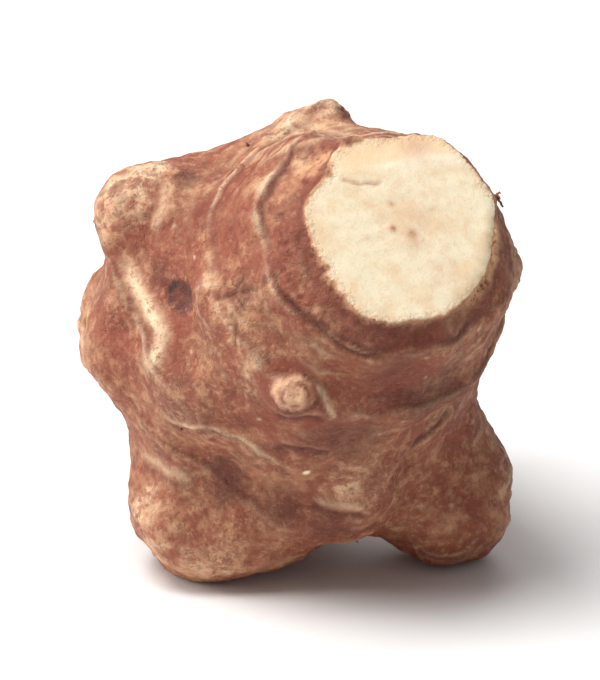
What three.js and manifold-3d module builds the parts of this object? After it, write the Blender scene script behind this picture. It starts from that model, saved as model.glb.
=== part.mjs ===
// A Jerusalem artichoke: one knobbly tuber, lying on a table as it was lifted and trimmed.
// The swollen body narrows in stepped collars to the end where a knife took it off the stolon,
// and rounded side knobs and small buds grow from its nodes. Three of the knobs are its feet.
// Millimetres, +Z up. The origin is on the table, below the middle of the tuber's box.
import * as THREE from "three";
import { mergeVertices, toCreasedNormals } from "three/addons/utils/BufferGeometryUtils.js";
import Module from "manifold-3d";

const point = (x, y, z) => new THREE.Vector3(x, y, z);

// The main swelling: an egg whose long end is the one that was cut.
const body = {
  centre: point(-1.7, 10, 37.4),
  axis: point(0.485, -0.56, 0.68).normalize(),
  girth: 26.8, // radius across the axis
  cutReach: 50.5, // half length towards the cut, if it were whole
  restReach: 26, // half length the other way
};

// Each knob is a rounded cone that leaves the body, and blends into it over a fillet.
const knobs = {
  shoulder: { from: point(-12, 11, 51), fromRadius: 13, to: point(-24, 6, 59), toRadius: 7.6, fillet: 9 },
  nape: { from: point(-20, 9, 58.4), fromRadius: 6.6, to: point(-4, 13, 57), toRadius: 8.5, fillet: 6 },
  flank: { from: point(-14, 10, 39), fromRadius: 15, to: point(-25, 8, 38.5), toRadius: 8.8, fillet: 9 },
  frontFoot: { from: point(-9, 9, 25), fromRadius: 17, to: point(-14.5, 3, 11), toRadius: 11.9, fillet: 6 },
  heel: { from: point(-5, 10, 24), fromRadius: 14, to: point(-5.5, 2.5, 12.8), toRadius: 10.9, fillet: 5 },
  belly: { from: point(-4, 10, 21), fromRadius: 15, to: point(6, 0.5, 17), toRadius: 10.5, fillet: 6 },
  rightFoot: { from: point(9, 14, 27), fromRadius: 18, to: point(23.5, 9, 10.4), toRadius: 11.2, fillet: 7 },
  backFoot: { from: point(-4, 19, 29), fromRadius: 20, to: point(-6, 27, 12.5), toRadius: 13, fillet: 8 },
  lowLobe: { from: point(2, -4, 21), fromRadius: 7, to: point(10, -8.5, 18.8), toRadius: 5, fillet: 3.5 },
  lowFold: { from: point(2, -6, 28), fromRadius: 7, to: point(10, -9, 28), toRadius: 4.6, fillet: 4 },
  backKnob: { from: point(-10, 22, 46), fromRadius: 14, to: point(-17, 31, 48.3), toRadius: 8.2, fillet: 7 },
  farKnob: { from: point(8, 22, 40), fromRadius: 16, to: point(14, 33, 40), toRadius: 9.5, fillet: 8 },
  rightKnob: { from: point(12, 14, 43), fromRadius: 14, to: point(23.5, 13, 38.5), toRadius: 7.5, fillet: 7 },
  neckSwell: { from: point(13, 2, 60), fromRadius: 9, to: point(20.5, -2, 67.3), toRadius: 7.2, fillet: 6 },
  crownRidge: { from: point(-9, 13, 61.5), fromRadius: 5.2, to: point(0, 13, 69), toRadius: 4.2, fillet: 4 },
  crownBud: { from: point(1, 13, 69), fromRadius: 4.2, to: point(5, 13, 71), toRadius: 3.8, fillet: 3 },
  frontBud: {
    from: point(1.5, -18, 41.5), fromRadius: 4.2, to: point(0.8, -21.6, 40.7), toRadius: 2.8, fillet: 2,
  },
  rightBud: { from: point(27, -3, 52), fromRadius: 5, to: point(31, -2.5, 53), toRadius: 3.8, fillet: 3 },
};

// Raised collars, one at each node of the shoot, square to the way that it grew:
// how far behind the cut they lie, and how far they stand out.
const growth = point(0.29, -0.66, 0.7).normalize();
const collars = [
  { behindCut: 6.3, rise: 0.9 },
  { behindCut: 16.8, rise: 1 },
  { behindCut: 32.5, rise: 0.6 },
  { behindCut: 45, rise: 0.4 },
];
const collarFall = 2.2; // length over which a collar drops, on the side of the cut
const collarBack = 7; // length over which it fades into the body behind it

// Sunken eyes, where a bud lies below the skin.
const eyes = [
  { at: point(-17.8, -8.5, 51.5), radius: 3.6, depth: 0.9 },
  { at: point(-11, -8.6, 22), radius: 5.5, depth: 1.8 },
  { at: point(14, 30, 58), radius: 4, depth: 1 },
];

// Two knife strokes: the face of the cut, and the sliver that was pared off its upper edge.
const cutCentre = point(18.8, -13.2, 66.8);
const mainCut = { through: cutCentre, normal: point(0.3, -0.73, 0.61).normalize() };
const paring = { offset: 7.8, lean: THREE.MathUtils.degToRad(13) };

const waviness = { height: 0.45, wavelength: 17 }; // slow swellings all over the skin
const footFlat = 0; // height of the table, where the feet are pressed flat

const rimAngle = THREE.MathUtils.degToRad(35); // edges sharper than this stay crisp

// How the skin is meshed: a geodesic ball is drawn onto the tuber and then evened out.
const ball = { detail: 21, heart: point(1, 7, 42), reach: 75, step: 0.8, evenings: 30 };

function smoothMin(a, b, fillet) {
  const overlap = Math.max(fillet - Math.abs(a - b), 0) / fillet;
  return Math.min(a, b) - (overlap * overlap * fillet) / 4;
}

function bodyDistance(p) {
  const offset = p.clone().sub(body.centre);
  const along = offset.dot(body.axis);
  const across = Math.sqrt(Math.max(offset.lengthSq() - along * along, 0));
  const reach = along > 0 ? body.cutReach : body.restReach;
  const scaled = Math.hypot(along / reach, across / body.girth);
  const slope = Math.hypot(along / reach ** 2, across / body.girth ** 2);
  return slope > 0 ? (scaled * (scaled - 1)) / slope : -body.girth;
}

function knobDistance(p, knob) {
  const length = knob.to.clone().sub(knob.from);
  const offset = p.clone().sub(knob.from);
  const share = THREE.MathUtils.clamp(offset.dot(length) / length.lengthSq(), 0, 1);
  const radius = THREE.MathUtils.lerp(knob.fromRadius, knob.toRadius, share);
  return offset.addScaledVector(length, -share).length() - radius;
}

// How far the skin stands out at p because of the collars: a gentle rise, then a quick fall to the cut.
// They are worn low on the upper side of the neck.
function collarRise(p) {
  const depth = -p.clone().sub(cutCentre).dot(growth);
  const turn = Math.sin(p.x * 0.21 + 1) + Math.sin(p.z * 0.17 - p.y * 0.13);
  const wear = THREE.MathUtils.clamp(1 - (p.z - 60) / 24, 0.3, 1);
  let rise = 0;
  for (const collar of collars) {
    const past = depth - collar.behindCut - 0.5 * turn;
    const fall = THREE.MathUtils.smoothstep(past, -collarFall, 0);
    const fade = 1 - THREE.MathUtils.smoothstep(past, 0, collarBack);
    rise += collar.rise * (past < 0 ? fall : fade);
  }
  return rise * wear;
}

function waves(p) {
  const k = (2 * Math.PI) / waviness.wavelength;
  const level = Math.sin(k * p.x + 0.7) * Math.sin(k * p.y + 2.1);
  const slanted = Math.sin(k * (p.z + 0.4 * p.x)) * Math.sin(k * 0.7 * p.y + 1.3);
  return waviness.height * (level + slanted);
}

// Signed distance to the uncut skin: negative inside.
function skinDistance(p) {
  let distance = bodyDistance(p) - collarRise(p);
  for (const knob of Object.values(knobs)) {
    distance = smoothMin(distance, knobDistance(p, knob), knob.fillet);
  }
  for (const eye of eyes) {
    const near = Math.max(1 - p.distanceTo(eye.at) / (2 * eye.radius), 0);
    distance += eye.depth * near * near * (3 - 2 * near);
  }
  return distance - waves(p);
}

function skinSlope(p) {
  const h = 0.05;
  const slope = point(0, 0, 0);
  for (const axis of ["x", "y", "z"]) {
    const ahead = p.clone();
    const behind = p.clone();
    ahead[axis] += h;
    behind[axis] -= h;
    slope[axis] = (skinDistance(ahead) - skinDistance(behind)) / (2 * h);
  }
  return slope;
}

function drawOntoSkin(p) {
  const slope = skinSlope(p);
  p.addScaledVector(slope, -skinDistance(p) / Math.max(slope.lengthSq(), 0.2));
}

// Outermost point of the skin along a ray from the heart of the ball.
function skinAlong(direction) {
  const at = (reach) => ball.heart.clone().addScaledVector(direction, reach);
  let outside = ball.reach;
  while (skinDistance(at(outside - ball.step)) > 0) outside -= ball.step;
  let inside = outside - ball.step;
  for (let i = 0; i < 12; i++) {
    const middle = (inside + outside) / 2;
    if (skinDistance(at(middle)) > 0) outside = middle;
    else inside = middle;
  }
  return at(inside);
}

function neighboursOf(geometry) {
  const neighbours = Array.from({ length: geometry.attributes.position.count }, () => new Set());
  const index = geometry.index.array;
  for (let i = 0; i < index.length; i += 3) {
    for (let side = 0; side < 3; side++) {
      const a = index[i + side];
      const b = index[i + ((side + 1) % 3)];
      neighbours[a].add(b);
      neighbours[b].add(a);
    }
  }
  return neighbours;
}

function skinGeometry() {
  const sphere = new THREE.IcosahedronGeometry(1, ball.detail);
  sphere.deleteAttribute("normal");
  sphere.deleteAttribute("uv");
  const geometry = mergeVertices(sphere, 1e-5);
  const position = geometry.attributes.position;
  let points = Array.from({ length: position.count }, (_, i) =>
    skinAlong(new THREE.Vector3().fromBufferAttribute(position, i).normalize()),
  );
  const neighbours = neighboursOf(geometry);
  for (let pass = 0; pass < ball.evenings; pass++) {
    points = points.map((p, i) => {
      const middle = point(0, 0, 0);
      neighbours[i].forEach((n) => middle.add(points[n]));
      return p.clone().lerp(middle.divideScalar(neighbours[i].size), 0.6);
    });
    points.forEach(drawOntoSkin);
    points.forEach(drawOntoSkin);
  }
  points.forEach((p, i) => position.setXYZ(i, p.x, p.y, p.z));
  return geometry;
}

const wasm = await Module();
wasm.setup();

function solidOf(geometry) {
  const bare = geometry.clone();
  bare.deleteAttribute("normal");
  bare.deleteAttribute("uv");
  const merged = mergeVertices(bare, 1e-5);
  return new wasm.Manifold(
    new wasm.Mesh({
      numProp: 3,
      vertProperties: merged.attributes.position.array,
      triVerts: new Uint32Array(merged.index.array),
    }),
  );
}

// A block that fills everything in front of a plane.
function blockBefore(through, normal) {
  const size = 160;
  const block = new THREE.BoxGeometry(size, size, size);
  block.translate(0, 0, size / 2);
  block.applyQuaternion(new THREE.Quaternion().setFromUnitVectors(point(0, 0, 1), normal));
  block.translate(through.x, through.y, through.z);
  return solidOf(block);
}

function knifeStrokes() {
  const sideways = point(0, 0, 1).cross(mainCut.normal).normalize();
  const upFace = mainCut.normal.clone().cross(sideways).normalize();
  const ridge = mainCut.through.clone().addScaledVector(upFace, paring.offset);
  const paringNormal = mainCut.normal.clone().applyAxisAngle(sideways, -paring.lean);
  return [blockBefore(mainCut.through, mainCut.normal), blockBefore(ridge, paringNormal)];
}

function tuberGeometry() {
  let tuber = solidOf(skinGeometry());
  for (const stroke of knifeStrokes()) tuber = tuber.subtract(stroke);
  tuber = tuber.subtract(blockBefore(point(0, 0, footFlat), point(0, 0, -1)));
  const mesh = tuber.getMesh();
  const geometry = new THREE.BufferGeometry();
  geometry.setAttribute("position", new THREE.BufferAttribute(new Float32Array(mesh.vertProperties), 3));
  geometry.setIndex(new THREE.BufferAttribute(new Uint32Array(mesh.triVerts), 1));
  geometry.computeBoundingBox();
  const middle = geometry.boundingBox.getCenter(point(0, 0, 0));
  geometry.translate(-middle.x, -middle.y, 0);
  return toCreasedNormals(geometry, rimAngle);
}

const skin = new THREE.MeshStandardMaterial({ color: 0xb98a6a, roughness: 0.75, metalness: 0 });
const tuber = new THREE.Mesh(tuberGeometry(), skin);
tuber.name = "tuber";

const artichoke = new THREE.Group();
artichoke.name = "jerusalem_artichoke";
artichoke.add(tuber);

export default artichoke;
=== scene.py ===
import itertools
import math

import bmesh
import bpy
import numpy as np
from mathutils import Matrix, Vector
from mathutils.bvhtree import BVHTree
from mathutils.kdtree import KDTree


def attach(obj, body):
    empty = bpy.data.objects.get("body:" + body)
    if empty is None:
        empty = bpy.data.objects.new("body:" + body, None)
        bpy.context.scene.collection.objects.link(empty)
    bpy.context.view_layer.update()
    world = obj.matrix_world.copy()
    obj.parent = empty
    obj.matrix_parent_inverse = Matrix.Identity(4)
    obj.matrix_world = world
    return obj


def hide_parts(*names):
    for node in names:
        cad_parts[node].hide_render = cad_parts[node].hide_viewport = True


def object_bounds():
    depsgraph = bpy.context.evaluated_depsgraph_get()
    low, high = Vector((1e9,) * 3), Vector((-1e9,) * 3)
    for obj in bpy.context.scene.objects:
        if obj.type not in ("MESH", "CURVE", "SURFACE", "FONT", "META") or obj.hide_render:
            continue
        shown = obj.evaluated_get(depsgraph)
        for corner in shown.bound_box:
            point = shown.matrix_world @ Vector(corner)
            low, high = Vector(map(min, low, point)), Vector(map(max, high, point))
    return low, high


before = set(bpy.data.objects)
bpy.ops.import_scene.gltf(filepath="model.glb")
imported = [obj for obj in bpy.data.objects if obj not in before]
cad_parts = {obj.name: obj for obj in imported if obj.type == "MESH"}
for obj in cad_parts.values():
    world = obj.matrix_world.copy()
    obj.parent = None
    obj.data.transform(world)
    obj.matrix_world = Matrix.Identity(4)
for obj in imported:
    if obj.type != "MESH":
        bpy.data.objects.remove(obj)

# A Jerusalem artichoke tuber with its skin, buds, scars and the knife's cut.
# Blender works in metres; sizes and places below are in millimetres where they don't say metres.
mm = 0.001
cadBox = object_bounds()
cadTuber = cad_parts["tuber"]
print("frame: tuber loaded,", len(cadTuber.data.polygons), "faces")


# small tools for points, masks and noise

def unit(vector):
    vector = np.asarray(vector, float)
    return vector / np.linalg.norm(vector)


def ease(values, low, high):
    t = np.clip((values - low) / (high - low), 0, 1)
    return t * t * (3 - 2 * t)


def hump(values, width):
    return np.exp(-((values / width) ** 2))


def grain(places, size, seed):
    # soft noise with swellings about `size` across, between -1 and 1
    chance = np.random.default_rng(seed)
    table = chance.permutation(256)
    slopes = chance.normal(size=(256, 3))
    slopes /= np.linalg.norm(slopes, axis=1, keepdims=True)
    places = np.asarray(places) / size
    cell = np.floor(places).astype(int)
    within = places - cell
    blend = within**3 * (within * (within * 6 - 15) + 10)
    total = np.zeros(len(places))
    for corner in itertools.product((0, 1), repeat=3):
        x, y, z = ((cell + corner) & 255).T
        pick = table[(table[(table[x] + y) & 255] + z) & 255]
        share = np.prod(np.where(corner, blend, 1 - blend), axis=1)
        total += share * ((within - corner) * slopes[pick]).sum(axis=1)
    return 1.7 * total


def readValues(source, name, width, kind=np.float32):
    values = np.empty(len(source) * width, kind)
    source.foreach_get(name, values)
    return values.reshape(-1, width)


def readPoints(mesh):
    return readValues(mesh.vertices, "co", 3).astype(float) / mm


def writePoints(mesh, places):
    mesh.vertices.foreach_set("co", (places * mm).astype(np.float32).ravel())
    mesh.update()


def readNormals(mesh):
    return readValues(mesh.vertex_normals, "vector", 3).astype(float)


def writeMark(mesh, name, values):
    made = mesh.attributes.new(name, "FLOAT", "POINT")
    made.data.foreach_set("value", values.astype(np.float32))


def smoothShaded(mesh):
    mesh.polygons.foreach_set("use_smooth", np.ones(len(mesh.polygons), bool))


def blur(values, ends, passes, share=0.5):
    # each point moves towards the mean of its neighbours
    a, b = ends.T
    total = len(values)
    neighbours = np.maximum(np.bincount(ends.ravel(), minlength=total), 1)
    columns = values.reshape(total, -1).T.copy()
    for _ in range(passes):
        for column in columns:
            near = np.bincount(a, column[b], total) + np.bincount(b, column[a], total)
            column += share * (near / neighbours - column)
    return columns.T.reshape(values.shape)


def linkObject(name, mesh):
    made = bpy.data.objects.new(name, mesh)
    bpy.context.scene.collection.objects.link(made)
    return made


def asPlainMesh(made, name):
    # the object with its modifiers worked in, as a new mesh
    depsgraph = bpy.context.evaluated_depsgraph_get()
    mesh = bpy.data.meshes.new_from_object(made.evaluated_get(depsgraph), depsgraph=depsgraph)
    mesh.name = name
    return mesh


# the tuber's form: the frame's solid, rounded, on an even fine grid

tuberForm = {
    "rimAngle": 35,  # degrees: sharper edges of the solid stay sharp
    "rounding": 2,  # subdivision levels
    "grid": 0.495,  # spacing of the finished surface
    "evening": 7,  # passes that take the grid's steps out
}


def mergedSolid():
    # one closed mesh of the frame's loose triangles, with its sharp edges creased
    solid = bmesh.new()
    solid.from_mesh(cadTuber.data)
    bmesh.ops.remove_doubles(solid, verts=solid.verts, dist=0.001 * mm)
    crease = solid.edges.layers.float.new("crease_edge")
    for edge in solid.edges:
        if edge.is_manifold and edge.calc_face_angle() > math.radians(tuberForm["rimAngle"]):
            edge[crease] = 1
    mesh = bpy.data.meshes.new("mergedSolid")
    solid.to_mesh(mesh)
    solid.free()
    return mesh


def knifePlanes(mesh):
    # the two largest flat faces that aren't underneath, as (point, normal)
    areas, faces = {}, {}
    for face in mesh.polygons:
        if face.normal.z < -0.9:
            continue
        key = (*(round(v, 2) for v in face.normal), round(face.center.dot(face.normal) / mm))
        areas[key] = areas.get(key, 0) + face.area
        if key not in faces or face.area > faces[key].area:
            faces[key] = face
    largest = sorted(areas, key=areas.get, reverse=True)[:2]
    return [(np.array(faces[key].center) / mm, np.array(faces[key].normal)) for key in largest]


def formMesh(solid):
    form = linkObject("form", solid)
    rounding = form.modifiers.new("rounding", "SUBSURF")
    rounding.levels = rounding.render_levels = tuberForm["rounding"]
    grid = form.modifiers.new("grid", "REMESH")
    grid.mode = "VOXEL"
    grid.voxel_size = tuberForm["grid"] * mm
    mesh = asPlainMesh(form, "wholeTuber")
    bpy.data.objects.remove(form)
    ends, places = readValues(mesh.edges, "vertices", 2, np.int32), readPoints(mesh)
    for _ in range(tuberForm["evening"]):
        places = blur(places, ends, 1, 0.55)
        places = blur(places, ends, 1, -0.58)
    writePoints(mesh, places)
    return mesh


solid = mergedSolid()
planes = knifePlanes(solid)
tuberMesh = formMesh(solid)
cutSide = unit(np.cross((0, 0, 1), planes[0][1]))  # level, across the large cut
cutUp = np.cross(planes[0][1], cutSide)

growth = {
    "along": unit((0.29, -0.66, 0.70)),  # the way the shoot grew, towards the cut
    "cutCentre": np.array((18.2, -21.2, 66.8)),
    "middle": np.array((-2.3, 2.0, 37.4)),  # of the main swelling
    "axis": unit((0.485, -0.56, 0.68)),
    "girth": 26.8,
    "cutReach": 50.5,
    "restReach": 26,
    "edge": (1.1, 1.32),  # of the main swelling, as shares of its girth
}
rimDraw = {
    "by": 1.4,
    "turn": (2, 20, 110, 126),  # degrees round the cut: starts, full, fades, ends
    "reach": (7, 14),  # from the middle of the cut
    "behind": (9, 17),  # fades out behind the cut
    "onFace": (0.4, 3),  # points nearer to the knife's faces stay in them
}


def underKnife(places):
    # how far each place is below each of the knife's planes, and which way the nearest one faces
    depths = np.array([(through - places) @ facing for through, facing in planes])
    return depths, np.array([facing for _, facing in planes])[depths.argmin(axis=0)]


def drawRimIn(mesh):
    # the rim's upper right is drawn in towards the middle of the cut
    places = readPoints(mesh)
    offset = places - growth["cutCentre"]
    behind = -offset @ planes[0][1]
    outward = offset + behind[:, None] * planes[0][1]
    away = np.maximum(np.linalg.norm(outward, axis=1), 0.1)
    turn = np.degrees(np.arctan2(offset @ cutUp, offset @ cutSide))
    start, full, fading, end = rimDraw["turn"]
    share = ease(turn, start, full) * (1 - ease(turn, fading, end))
    share *= ease(away, *rimDraw["reach"]) * (1 - ease(behind, *rimDraw["behind"]))
    way = -outward / away[:, None]
    depths, nearest = underKnife(places)
    onFace = (1 - ease(depths.min(axis=0), *rimDraw["onFace"])) * (way * nearest).sum(axis=1)
    way -= onFace[:, None] * nearest
    writePoints(mesh, places + rimDraw["by"] * share[:, None] * way)


drawRimIn(tuberMesh)
print("form:", len(tuberMesh.polygons), "faces")

# sculpting: details raise or sink the skin along its normals, and leave marks that the materials read

points = readPoints(tuberMesh)
ends = readValues(tuberMesh.edges, "vertices", 2, np.int32)
normals = readNormals(tuberMesh)
lift = np.zeros(len(points))
# some marks hold painted light as well as real colour: shade in creases and dips, and highlights on crests
# and swells
marks = {name: np.zeros(len(points)) for name in (
    "ridge", "stain_and_shade", "scar", "rust", "bud", "pale_and_highlight", "thin",
    "nick", "blush_and_shade", "film", "char", "roots", "flakes", "fissure")}
skinTree = BVHTree.FromPolygons([p * mm for p in points], [f.vertices[:] for f in tuberMesh.polygons])
pointTree = KDTree(len(points))
for i, p in enumerate(points):
    pointTree.insert(p, i)
pointTree.balance()


def raiseSkin(amount, where=slice(None)):
    lift[where] += amount


def mark(name, amount, where=slice(None)):
    marks[name][where] = np.maximum(marks[name][where], amount)


def onSkin(place):
    return np.array(skinTree.find_nearest(Vector(place) * mm)[0]) / mm


def around(place, reach):
    # the points within reach of a place, and how far off they are
    found = pointTree.find_range(place, reach)
    return np.array([f[1] for f in found], int), np.array([f[2] for f in found])


def distanceTo(place):
    return np.linalg.norm(points - place, axis=1)


behindCut = (growth["cutCentre"] - points) @ growth["along"]
planeDepths, faceNormal = underKnife(points)
faceDepth = planeDepths.min(axis=0)  # how far below the cut, 0 on it
knifeAcross = (points - growth["cutCentre"]) @ cutSide
knifeUp = (points - growth["cutCentre"]) @ cutUp


def onBody():
    # 1 on the main swelling, falling to 0 on the side knobs
    offset = points - growth["middle"]
    along = offset @ growth["axis"]
    across = np.linalg.norm(offset - along[:, None] * growth["axis"], axis=1)
    reach = np.where(along > 0, growth["cutReach"], growth["restReach"])
    radius = growth["girth"] * np.sqrt(np.clip(1 - (along / reach) ** 2, 0.02, 1))
    return 1 - ease(across / radius, *growth["edge"])


cutFace = {
    "skinEdge": 0.35,  # points deeper than this below the planes are skin
    "skinFacing": 0.35,  # and so are those that face the planes' way less than this
    "besideRim": 2.5,  # skin down to this depth tells where the rim runs
    "fleshFrom": 1.2,  # faces further than this inside the rim are flesh all over
    "radius": 17,  # of the large cut
    "raggedness": 0.65,  # how far the skin's edge wanders
    "raggedBand": 2.5,  # how wide a band beside the rim wanders with it
    "teeth": 0.9,  # how far thin shreds of skin reach in over the flesh
    "proud": 0.12,  # how far the torn skin stands above the flesh
    "strokes": 0.035,  # height of the knife's chatter
    "strokeTurn": 2.3,  # radians of its wave in each millimetre
    "bevel": 1.0,  # how far the lower right edge is rounded over
    "bevelAcross": (8, 15),  # where it starts and is full, across the cut
    "bevelDown": (-9, 3),  # and down it
    "bevelSlant": 0.55,
    "bevelWidth": (3.4, 2.2),  # on the flesh and on the skin
    "tongues": (  # of skin, lying in over the flesh: place, reach, how far in
        ((2.6, -20.6, 72.8), 1.3, 2.2), ((4.6, -21.6, 73.0), 0.9, 1.2), ((8, -31.8, 60.5), 1.6, 0.7),
        ((6.6, -15.2, 75.2), 2.2, 2.0), ((8.6, -12.4, 75.4), 1.6, 1.2),
    ),
}


def rimDistance():
    # millimetres from the rim: above 0 on the flesh, below 0 on the skin
    facing = (normals * faceNormal).sum(axis=1)
    flat = (faceDepth < cutFace["skinEdge"]) & (facing > cutFace["skinFacing"])
    beside = np.flatnonzero(~flat & (faceDepth < cutFace["besideRim"]))
    rimTree = KDTree(len(beside))
    for i in beside:
        rimTree.insert(points[i], i)
    rimTree.balance()
    rim = -faceDepth.copy()
    for i in np.flatnonzero(flat):
        rim[i] = rimTree.find(points[i])[2]
    ragged = 0.4 * grain(points, 1.6, 11) + 0.9 * grain(points, 4.2, 13)
    turn = np.arctan2(knifeUp, knifeAcross)
    radius = cutFace["radius"]
    spokes = np.column_stack((radius * np.cos(turn), radius * np.sin(turn), 0 * turn))
    shreds = grain(spokes, 1.3, 14) + 0.7 * grain(spokes, 3.4, 15) + 0.5 * grain(points, 0.7, 16) - 0.1
    shreds = np.clip(shreds, 0, 1) ** 1.4
    rim += hump(rim, cutFace["raggedBand"]) * (cutFace["raggedness"] * ragged - cutFace["teeth"] * shreds)
    for place, reach, covered in cutFace["tongues"]:
        rim -= covered * hump(distanceTo(onSkin(place)) + 0.3 * grain(points, 1.2, 17), reach)
    return rim, flat


rim, flat = rimDistance()
# the cut is pressed onto the knife's planes
points = points + np.where(flat, faceDepth, 0)[:, None] * faceNormal
flesh = np.where(flat, ease(rim, 0.15, 0.7), 0)
skinny = 1 - ease(rim, -0.4, 0.4) * flat
body = onBody() * skinny
foldAway = planeDepths[0] - planeDepths[1]  # above 0 on the sliver that was pared off


def sculptCutFace():
    chatter = np.sin(knifeUp * cutFace["strokeTurn"] + 1.4 * grain(points, 9, 21))
    chatter *= 0.5 + 0.5 * grain(points, 14, 22)
    uneven = 0.08 * grain(points, 5, 23)
    raiseSkin(flesh * (cutFace["strokes"] * chatter + uneven + 0.04 * grain(points, 1.6, 24)))
    rounded = ease(knifeAcross - cutFace["bevelSlant"] * knifeUp, *cutFace["bevelAcross"])
    rounded *= ease(-knifeUp, *cutFace["bevelDown"])
    inwards, outwards = cutFace["bevelWidth"]
    slope = np.where(rim > 0, (1 - ease(rim, 0, inwards)) ** 2, 1 - ease(-rim, 0, outwards))
    raiseSkin(-cutFace["bevel"] * rounded * slope)
    torn = hump(rim + 0.15, 0.45) * np.clip(0.3 + grain(points, 0.9, 25) + grain(points, 2.6, 26), 0, 1.3)
    raiseSkin(cutFace["proud"] * torn * (1 - rounded))
    mark("thin", rounded * (1 - ease(-rim, 0.78, 2.6)))
    mark("flakes", 0.35 * hump(rim + 0.5, 0.4))


sculptCutFace()

# soft swells and dips of the whole form: place, reach, height
swells = [
    ((-14, 7, 67.5), 4, -1.2),  # nape
    ((-19.9, 4, 66), 2.5, 0.4),
    ((-24.5, 0.5, 67), 2.6, -0.7),  # on the shoulder
    ((-30.5, 2, 51), 3, 0.4),  # between shoulder and flank
    ((-5.8, -18, 71), 1.8, 0.45),  # on the first collar
    ((4, -10, 5.5), 4.5, -1.4),  # beside the front foot
    ((-23.8, -8, 4.6), 3.4, -1.0),
    ((-24.8, -13.5, 42), 1.5, -0.55),  # below the left ridge
]


def sculptSwells():
    for place, reach, height in swells:
        raiseSkin(skinny * height * hump(distanceTo(onSkin(place)), reach))


sculptSwells()

relief = {"broad": 0.6, "middle": 0.34, "fine": 0.17, "wrinkles": 0.025, "rimBand": 0.12}


def sculptRelief():
    # slow unevenness, fine wrinkles that run round with the collars, and rough skin beside the rim
    raiseSkin(skinny * relief["broad"] * grain(points, 9, 33))
    raiseSkin(skinny * relief["middle"] * grain(points + 1.5 * grain(points, 6, 36)[:, None], 4.2, 34))
    raiseSkin(skinny * relief["fine"] * (grain(points, 1.8, 35) + 0.6 * grain(points, 0.95, 37)))
    ringed = np.column_stack((points @ cutSide / 7, points @ cutUp / 7, behindCut / 1.8))
    patchy = np.clip(0.5 + 1.2 * grain(points, 8, 38), 0, 1.3)
    raiseSkin(body * patchy * relief["wrinkles"] * grain(ringed, 1, 31))
    besideRim = body * ease(behindCut, -1, 0.5) * (1 - ease(behindCut, 4.5, 6.5))
    raiseSkin(relief["rimBand"] * besideRim * (grain(points, 1.5, 39) + 0.6 * grain(points, 0.8, 40)))
    mark("blush_and_shade", 0.8 * besideRim * np.clip(0.75 + 0.6 * grain(points, 3, 30), 0, 1))
    mark("scar", besideRim * 0.85 * ease(grain(points, 1.2, 29), 0.12, 0.5))
    mark("pale_and_highlight", besideRim * 0.5 * ease(grain(points, 2.6, 28), 0.1, 0.6))


sculptRelief()


def lip(past, height, width):
    # past is how far behind the edge: a slope up to it, a thin lip, and a crease in front
    behind = np.exp(-np.maximum(past, 0) / (3.2 * width)) * (past > 0)
    front = np.exp(-((np.minimum(past, 0) / (0.55 * width)) ** 2)) * (past <= 0)
    crease = hump(past + 1.15 * width, 0.7 * width)
    return height * (0.75 * (behind + front) + 0.12 * hump(past - 0.2 * width, 0.7 * width) - 0.45 * crease)


# collars: the edge that each scale leaf leaves round the shoot, one at each node;
# near its quiet places (place, reach) a collar hardly shows
collars = [
    {"behindCut": 6.3, "height": 0.3, "width": 0.5, "pale_and_highlight": 0.85, "paleAbove": 60, "dark": 0.9, "worn": 0.85,
     "quiet": ()},
    {"behindCut": 16.8, "height": 0.36, "width": 0.55, "pale_and_highlight": 0.7, "paleAbove": 30, "dark": 0.6, "worn": 1.0,
     "quiet": (((-11, -24, 55), 8), ((4, -32, 42), 7))},
    {"behindCut": 32.5, "height": 0.26, "width": 0.45, "pale_and_highlight": 0.7, "paleAbove": 10, "dark": 0.4, "worn": 1.0,
     "quiet": (((2, -24, 26), 6),)},
    {"behindCut": 45.0, "height": 0.3, "width": 0.6, "pale_and_highlight": 0.4, "paleAbove": 5, "dark": 0.4, "worn": 1.0,
     "quiet": ()},
]
# how far the collars stray from level rings
collarWobble = np.sin(0.21 * points[:, 0] + 1.13) + np.sin(0.17 * points[:, 2] - 0.13 * points[:, 1] - 1.04)


def sculptCollars():
    for i, collar in enumerate(collars):
        width, worn = collar["width"], collar["worn"]
        wander = 0.7 * grain(points, 7, 41 + i) + 0.3 * grain(points, 2.2, 46 + i)
        past = behindCut - collar["behindCut"] - 0.5 * collarWobble + wander
        strength = body * np.clip(0.85 + 0.8 * worn * grain(points, 9, 51 + i), 0.08, 1.15)
        for place, reach in collar["quiet"]:
            strength *= 1 - 0.85 * hump(distanceTo(place), reach)
        raiseSkin(strength * lip(past, collar["height"], width))
        gaps = 0.3 - 1.1 * grain(points, 5, 56 + i) - 0.5 * grain(points, 1.8, 61 + i)
        broken = 1 - worn * np.clip(gaps, 0, 1)
        # crests are pale where worn, with a painted highlight where they face up and stand high
        facingUp = 0.25 + 0.75 * ease(normals[:, 2], -0.25, 0.4)
        facingUp *= 0.1 + 0.9 * ease(points[:, 2], collar["paleAbove"] - 7, collar["paleAbove"])
        mark("ridge", collar["pale_and_highlight"] * strength * broken * facingUp * hump(past - 0.1, 0.75 * width))
        # painted shade in the crease in front of the lip
        mark("stain_and_shade", collar["dark"] * strength * hump(past + 1.35 * width, 0.85 * width))


sculptCollars()

# thin scar lines between the collars, strongest on the upper side
scarLines = {"behindCut": (3.4, 10.2, 12.8, 20.3, 22.6, 25.5, 28.4), "height": 0.15, "width": 0.45}


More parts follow.
